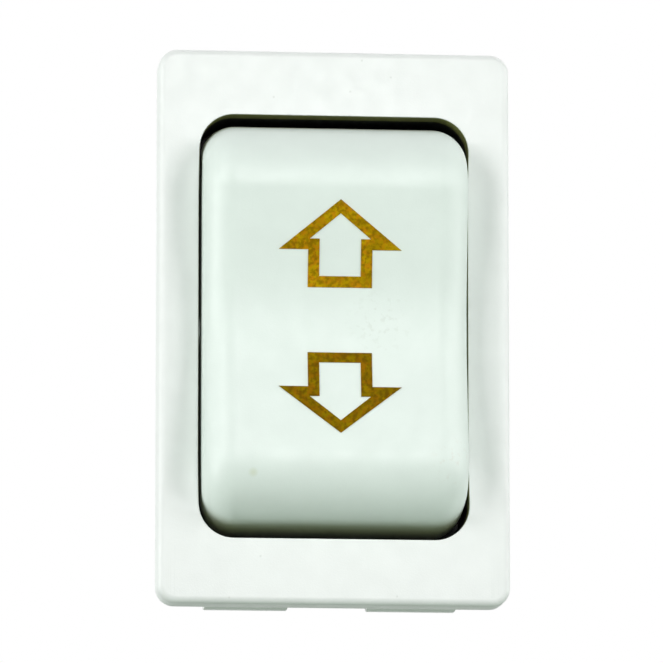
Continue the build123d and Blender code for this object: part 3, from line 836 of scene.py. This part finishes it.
class SlideSwitchRocker(bpy.types.Operator):
    """Models the white rocker: its saddle face, hollow inside, rib, plunger tubes and trunnions"""

    bl_idname = "slide_switch.rocker"
    bl_label = "Rocker"

    def execute(self, context):
        sizes = context.scene.slide_switch_sizes
        colours = context.scene.slide_switch_colours
        half = ROCKER_WIDTH / 2
        shell = rocker_block("rocker_cover", 0, PIVOT_DEPTH, ROCKER_WIDTH)
        pick_edges(
            shell,
            lambda a, b: abs(a.x) > half - NEAR and abs(b.x - a.x) < NEAR
            and min(a.y, b.y) < PIVOT_DEPTH - NEAR,
        )
        bevel_picked(sizes.side_fillet / MM, steps=14)
        boss_end = PIVOT_DEPTH + BOSS_DROP
        for side in (-1, 1):
            x_low, x_high = sorted((side * half, side * (half - ROCKER_WALL)))
            boss = block("boss", (x_low, 0, -BOSS_HALF_LENGTH), (x_high, boss_end, BOSS_HALF_LENGTH))
            combine(shell, boss, "UNION")
        hollow = rocker_block("hollow", -ROCKER_WALL, boss_end + 1, ROCKER_WIDTH - 2 * ROCKER_WALL)
        combine(shell, hollow, "DIFFERENCE")
        inside_top = -VALLEY_PROUD + ROCKER_WALL / 2
        inner_half = half - ROCKER_WALL / 2
        rib = block(
            "rib", (-inner_half, inside_top, -RIB_THICKNESS / 2),
            (inner_half, PIVOT_DEPTH + BOSS_DROP / 2, RIB_THICKNESS / 2),
        )
        combine(shell, rib, "UNION")
        for side in (-1, 1):
            tube = rod("tube", TUBE_RADIUS, (side * POLE, inside_top, 0), (side * POLE, TUBE_END, 0))
            combine(shell, tube, "UNION")
        for side in (-1, 1):
            bore = rod("bore", BORE_RADIUS, (side * POLE, BORE_TOP, 0), (side * POLE, TUBE_END + 1, 0))
            combine(shell, bore, "DIFFERENCE")
        pin_end = BASE_WIDTH / 2 - TRUNNION_SHORTFALL
        for side in (-1, 1):
            start = (side * (half - ROCKER_WALL), PIVOT_DEPTH, 0)
            pin = rod("pin", TRUNNION_RADIUS, start, (side * pin_end, PIVOT_DEPTH, 0))
            soften_edges(pin, TRUNNION_EDGE)
            combine(shell, pin, "UNION")
        # The rocker's ends get a veil of painted shade where they go into the opening.
        material = moulded_white(
            "rocker_white_nylon", colours.rocker, roughness=0.45, marks=ROCKER_MARKS,
            shade_mask=root_shade, scuffs=ROCKER_SCUFFS,
        )
        settle(shell, "rocker_cover", "rocker", "rocker_white", material, "rocker")
        return {"FINISHED"}


class SlideSwitchArrowMarks(bpy.types.Operator):
    """Gives the two stamped arrows their gold foil, the lower one darkened by painted shade"""

    bl_idname = "slide_switch.arrow_marks"
    bl_label = "Arrow marks"

    def execute(self, context):
        gold = list(context.scene.slide_switch_colours.gold)
        orange = [c * share for c, share in zip(gold, ORANGE_SHARES)]
        upper_foil = stamped_gold("gold_foil_upper", gold, orange, UPPER_DARK)
        # The lower arrow's foil is the same gold, made darker as painted shade.
        duller, shaded_orange = shade(gold, LOWER_SHADE_SHARE), shade(orange, LOWER_SHADE_SHARE)
        shaded_lower_foil = stamped_gold("gold_foil_lower_shaded", duller, shaded_orange, SHADED_LOWER_DARK)
        finish_nodes(upper_foil, ["arrow_up_mark"])
        finish_nodes(shaded_lower_foil, ["arrow_down_mark"])
        return {"FINISHED"}


def finish_nodes(material, names):
    """Gives CAD nodes their material."""
    for name in names:
        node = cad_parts[name]
        node.data.materials.clear()
        node.data.materials.append(material)


class SlideSwitchBase(bpy.types.Operator):
    """Models the black base: a stepped cup with a wall between the poles"""

    bl_idname = "slide_switch.switch_base"
    bl_label = "Base"

    def execute(self, context):
        sizes = context.scene.slide_switch_sizes
        colours = context.scene.slide_switch_colours
        rim = -POCKET_DEPTH
        cup = front_block("cup", BASE_WIDTH, 2 * BASE_UPPER_HALF, BASE_CORNER_RADIUS, rim, BASE_STEP_BACK)
        lower = front_block("lower", BASE_WIDTH, 2 * BASE_LOWER_HALF, BASE_CORNER_RADIUS, rim, BASE_BACK)
        pick_edges(lower, lambda a, b: a.y > BASE_BACK - NEAR and b.y > BASE_BACK - NEAR)
        bevel_picked(sizes.base_edge / MM, steps=3)
        combine(cup, lower, "UNION")
        for height, back in ((OPENING_HEIGHT, BASE_STEP_DEPTH), (2 * BASE_INSIDE_HALF, FLOOR_FRONT)):
            room = front_block("room", OPENING_WIDTH, height, OPENING_CORNER_RADIUS, rim - 1, back)
            combine(cup, room, "DIFFERENCE")
        half_height = BASE_LOWER_HALF - BASE_LOWER_WALL / 2
        divider = block(
            "divider", (-DIVIDER_THICKNESS / 2, DIVIDER_FRONT, -half_height),
            (DIVIDER_THICKNESS / 2, BASE_BACK - 1, half_height),
        )
        combine(cup, divider, "UNION")
        across = BASE_WIDTH / 2 + 1
        hole = rod("hole", TRUNNION_HOLE_RADIUS, (-across, PIVOT_DEPTH, 0), (across, PIVOT_DEPTH, 0))
        combine(cup, hole, "DIFFERENCE")
        for side in (-1, 1):
            for low in TAB_BOTTOMS.values():
                slot = block(
                    "slot", (side * POLE - TAB_WIDTH / 2, FLOOR_FRONT - 1, low),
                    (side * POLE + TAB_WIDTH / 2, BASE_BACK + 1, low + TAB_THICKNESS),
                )
                combine(cup, slot, "DIFFERENCE")
        material = moulded_black("base_black_moulding", colours.base)
        settle(cup, "switch_base_cover", "housing", "base_black", material, "switch_base")
        return {"FINISHED"}


def stamp_tab(name, middle, y_start, z_low, edge):
    """One flat terminal: its end corners cut off, its latching hole drilled and its edges softened."""
    half = TAB_WIDTH / 2
    tab = block(name, (middle - half, y_start, z_low), (middle + half, TAB_END, z_low + TAB_THICKNESS))
    pick_edges(tab, lambda a, b: along(2)(a, b) and a.y > TAB_END - NEAR)
    bevel_picked(TAB_CHAMFER, steps=1)
    y_hole = TAB_END - TAB_HOLE_FROM_END
    start, end = (middle, y_hole, z_low - 1), (middle, y_hole, z_low + TAB_THICKNESS + 1)
    drill = rod("drill", TAB_HOLE_RADIUS, start, end, SMALL_ROD_STEPS)
    combine(tab, drill, "DIFFERENCE")
    soften_edges(tab, edge)
    return tab


class SlideSwitchTabTerminals(bpy.types.Operator):
    """Models the six stamped tab terminals: forked in the middle row, bent over inside in the others"""

    bl_idname = "slide_switch.tab_terminals"
    bl_label = "Tab terminals"

    def execute(self, context):
        edge = context.scene.slide_switch_sizes.tab_edge / MM
        colour = context.scene.slide_switch_colours.tabs
        material = rolled_metal("tab_brass_sheet", colour, tarnish=(0.45, 0.33, 0.17), roughness=0.32)
        for side_name, side in (("left", -1), ("right", 1)):
            middle = side * POLE
            name = f"{side_name}_common_terminal"
            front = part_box(name)[0].y / MM
            tab = stamp_tab(name, middle, front, TAB_BOTTOMS["common"], edge)
            notch = block(
                "notch", (middle - FORK_NOTCH_HALF_WIDTH, front - 1, -TAB_THICKNESS),
                (middle + FORK_NOTCH_HALF_WIDTH, front + FORK_EAR_HEIGHT, TAB_THICKNESS),
            )
            combine(tab, notch, "DIFFERENCE")
            settle(tab, f"{name}_cover", "housing", "tab_brass", material, name)
            for end_name, end in (("upper", 1), ("lower", -1)):
                name = f"{side_name}_{end_name}_terminal"
                low, high = (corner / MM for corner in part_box(name))
                tab = stamp_tab(name, middle, low.y + TAB_THICKNESS / 2, TAB_BOTTOMS[end_name], edge)
                pad = block("pad", (low.x, low.y, low.z), (high.x, low.y + TAB_THICKNESS, high.z))
                outer = high.z if end > 0 else low.z
                pick_edges(
                    pad,
                    lambda a, b: along(0)(a, b) and abs(a.z - outer) < NEAR and a.y < low.y + NEAR,
                )
                bevel_picked(TAB_BEND_RADIUS, steps=6)
                combine(tab, pad, "UNION")
                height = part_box(f"{side_name}_{end_name}_fixed_contact")
                z_rivet = (height[0].z + height[1].z) / 2 / MM
                start, stop = (middle, low.y - 1, z_rivet), (middle, low.y + 2, z_rivet)
                drill = rod("drill", RIVET_HOLE_RADIUS, start, stop, SMALL_ROD_STEPS)
                combine(tab, drill, "DIFFERENCE")
                settle(tab, f"{name}_cover", "housing", "tab_brass", material, name)
        return {"FINISHED"}


def wind_coil(name, middle, y_low, y_high):
    """A coil spring along Y, wound from one ring of wire."""
    deselect()
    bpy.ops.mesh.primitive_circle_add(
        vertices=SPRING_WIRE_STEPS, radius=SPRING_WIRE / 2, location=(SPRING_RADIUS, 0, 0)
    )
    coil = just_added(name)
    apply_place(coil)
    modifier = coil.modifiers.new("wind", "SCREW")
    modifier.axis = "Y"
    modifier.screw_offset = (y_high - y_low - SPRING_WIRE) / SPRING_TURNS
    modifier.iterations = SPRING_TURNS
    modifier.steps = SPRING_TURN_STEPS
    modifier.render_steps = SPRING_TURN_STEPS
    bpy.ops.object.modifier_apply(modifier=modifier.name)
    edit_whole(coil)
    bpy.ops.mesh.remove_doubles(threshold=WELD)
    bpy.ops.mesh.fill_holes(sides=0)
    close_skin()
    coil.location = (middle, y_low + SPRING_WIRE / 2, 0)
    apply_place(coil)
    return coil


def plunger_steps(back, tip):
    """The (radius, depth) steps of a plunger: spigot, shaft, taper and ball tip."""
    shoulder = back + SPIGOT_LENGTH
    ball = tip - PLUNGER_TIP_RADIUS
    steps = [(SPIGOT_RADIUS, back), (SPIGOT_RADIUS, shoulder), (PLUNGER_RADIUS, shoulder)]
    steps.append((PLUNGER_RADIUS, ball - PLUNGER_TIP_TAPER))
    for degrees in range(0, 90, 10):
        turn = math.radians(degrees)
        steps.append((PLUNGER_TIP_RADIUS * math.cos(turn), ball + PLUNGER_TIP_RADIUS * math.sin(turn)))
    steps.append((PLUNGER_TIP_FLAT, tip))
    return steps


def turn_along_y(name, middle, steps):
    """A round piece along Y, each of whose (radius, depth) steps is pulled out of the one before."""
    deselect()
    radius, depth = steps[0]
    bpy.ops.mesh.primitive_circle_add(vertices=SMALL_ROD_STEPS, radius=radius, fill_type="NGON")
    piece = just_added(name)
    piece.location = (middle, depth, 0)
    piece.rotation_euler = (math.radians(-90), 0, 0)
    apply_place(piece)
    edit_whole(piece)
    for next_radius, next_depth in steps[1:]:
        bpy.ops.mesh.extrude_region_move(TRANSFORM_OT_translate={"value": (0, next_depth - depth, 0)})
        share = next_radius / radius
        bpy.ops.transform.resize(value=(share, 1, share))
        radius, depth = next_radius, next_depth
    close_skin()
    return piece


class SlideSwitchPlungers(bpy.types.Operator):
    """Models the two plungers and the coil springs that push them"""

    bl_idname = "slide_switch.plungers"
    bl_label = "Plungers and springs"

    def execute(self, context):
        steel = rolled_metal(
            "spring_wire", colour=(0.60, 0.60, 0.62), tarnish=(0.42, 0.41, 0.40), roughness=0.28
        )
        nylon = plain_moulding("plunger_natural_nylon", colour=(0.80, 0.77, 0.66))
        for side_name, side in (("left", -1), ("right", 1)):
            name = f"{side_name}_plunger"
            low, high = (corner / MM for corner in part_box(name))
            plunger = turn_along_y(name, side * POLE, plunger_steps(low.y, high.y))
            settle(plunger, f"{name}_cover", name, "plunger_nylon", nylon, name)
            name = f"{side_name}_spring"
            low, high = (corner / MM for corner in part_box(name))
            coil = wind_coil(name, side * POLE, low.y, high.y)
            settle(coil, f"{name}_cover", "rocker", "spring_steel", steel, name)
            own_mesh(coil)
        return {"FINISHED"}


class SlideSwitchInnerWorks(bpy.types.Operator):
    """Gives the pieces inside their finishes: see-saw blades and contacts"""

    bl_idname = "slide_switch.inner_works"
    bl_label = "Inner works"

    def execute(self, context):
        copper = rolled_metal(
            "blade_copper_sheet", colour=(0.80, 0.44, 0.28), tarnish=(0.50, 0.26, 0.17),
            roughness=0.30, grain_axis=2,
        )
        silver = rolled_metal(
            "contact_silver_rivet", colour=(0.86, 0.86, 0.83), tarnish=(0.55, 0.54, 0.50),
            roughness=0.30, grain_axis=0,
        )
        names = sorted(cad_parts)
        contact_ends = ("fixed_contact", "moving_contact")
        finish_nodes(copper, [n for n in names if n.endswith("contact_blade")])
        finish_nodes(silver, [n for n in names if n.endswith(contact_ends)])
        return {"FINISHED"}


def add_lamp(name, round_angle, up_angle, size, power):
    """A square soft lamp one metre away that looks at the switch, from an angle round it and one up."""
    deselect()
    turn, rise = math.radians(round_angle), math.radians(up_angle)
    place = [math.sin(turn) * math.cos(rise), -math.cos(turn) * math.cos(rise), math.sin(rise)]
    bpy.ops.object.light_add(type="AREA", location=place)
    lamp = just_added(name)
    lamp.data.size = size
    lamp.data.energy = power
    lamp.rotation_mode = "QUATERNION"
    lamp.rotation_quaternion = (-Vector(place)).to_track_quat("-Z", "Y")


def light_world():
    """A world that shows white. It lights the object faintly from the front and more from behind."""
    world = bpy.data.worlds.new("studio")
    bpy.context.scene.world = world
    world.use_nodes = True
    tree = world.node_tree
    tree.nodes.clear()
    output = add_node(tree, "ShaderNodeOutputWorld", (600, 0))
    mix = add_node(tree, "ShaderNodeMixShader", (400, 0))
    soft = add_node(tree, "ShaderNodeBackground", (100, 100), Color=(*WORLD_COLOUR, 1.0))
    direction = add_node(tree, "ShaderNodeTexCoord", (-900, 100))
    back = separate(tree, direction.outputs["Generated"])["Y"]
    tree.links.new(ramp(tree, back, *WORLD_TURN, WORLD_FRONT, WORLD_BEHIND), soft.inputs["Strength"])
    white = add_node(tree, "ShaderNodeBackground", (100, -100), Color=(1.0, 1.0, 1.0, 1.0), Strength=1.0)
    tree.links.new(seen_ray(tree), mix.inputs["Fac"])
    tree.links.new(soft.outputs["Background"], mix.inputs[1])
    tree.links.new(white.outputs["Background"], mix.inputs[2])
    tree.links.new(mix.outputs["Shader"], output.inputs["Surface"])


class SlideSwitchStage(bpy.types.Operator):
    """Sets the floor, the lamps, the white surroundings and the camera at the photograph's viewpoint"""

    bl_idname = "slide_switch.stage"
    bl_label = "Stage"

    def execute(self, context):
        deselect()
        bpy.ops.mesh.primitive_plane_add(size=FLOOR_SIZE, location=(0, 0, FLOOR_HEIGHT))
        floor = just_added("floor")
        floor.data.materials.append(soft_floor("floor_white", FLOOR_SHOWN, FLOOR_BOUNCE))
        light_world()
        for name, round_angle, up_angle, size, power in LAMPS:
            add_lamp(name, round_angle, up_angle, size, power)
        deselect()
        bpy.ops.object.camera_add(location=CAMERA_PLACE)
        camera = just_added("camera")
        camera.data.lens = CAMERA_LENS
        camera.data.sensor_width = CAMERA_SENSOR
        camera.data.clip_start = 0.01
        camera.rotation_mode = "QUATERNION"
        aim = Vector(CAMERA_TARGET) - Vector(CAMERA_PLACE)
        camera.rotation_quaternion = aim.to_track_quat("-Z", "Y")
        context.scene.camera = camera
        context.scene.view_settings.view_transform = "Standard"
        return {"FINISHED"}


class SlideSwitchPanel(bpy.types.Panel):
    """Lists the switch's sizes, colours and build steps in the sidebar"""

    bl_idname = "VIEW3D_PT_slide_switch"
    bl_label = "Slide-out switch"
    bl_space_type = "VIEW_3D"
    bl_region_type = "UI"
    bl_category = "Slide-out switch"

    def draw(self, context):
        for group in (context.scene.slide_switch_sizes, context.scene.slide_switch_colours):
            column = self.layout.column(align=True)
            for name in group.__annotations__:
                column.prop(group, name)
        for operator in OPERATORS:
            self.layout.operator(operator.bl_idname)


OPERATORS = (
    SlideSwitchBezelFrame,
    SlideSwitchRocker,
    SlideSwitchArrowMarks,
    SlideSwitchBase,
    SlideSwitchTabTerminals,
    SlideSwitchPlungers,
    SlideSwitchInnerWorks,
    SlideSwitchStage,
)
CLASSES = (SlideSwitchSizes, SlideSwitchColours, *OPERATORS, SlideSwitchPanel)


def register():
    for cls in CLASSES:
        bpy.utils.register_class(cls)
    bpy.types.Scene.slide_switch_sizes = bpy.props.PointerProperty(type=SlideSwitchSizes)
    bpy.types.Scene.slide_switch_colours = bpy.props.PointerProperty(type=SlideSwitchColours)


def unregister():
    del bpy.types.Scene.slide_switch_colours
    del bpy.types.Scene.slide_switch_sizes
    for cls in reversed(CLASSES):
        bpy.utils.unregister_class(cls)


def main():
    """Builds every piece and the stage."""
    register()
    bpy.ops.slide_switch.bezel_frame()
    bpy.ops.slide_switch.rocker()
    bpy.ops.slide_switch.arrow_marks()
    bpy.ops.slide_switch.switch_base()
    bpy.ops.slide_switch.tab_terminals()
    bpy.ops.slide_switch.plungers()
    bpy.ops.slide_switch.inner_works()
    bpy.ops.slide_switch.stage()


if __name__ == "__main__":
    main()
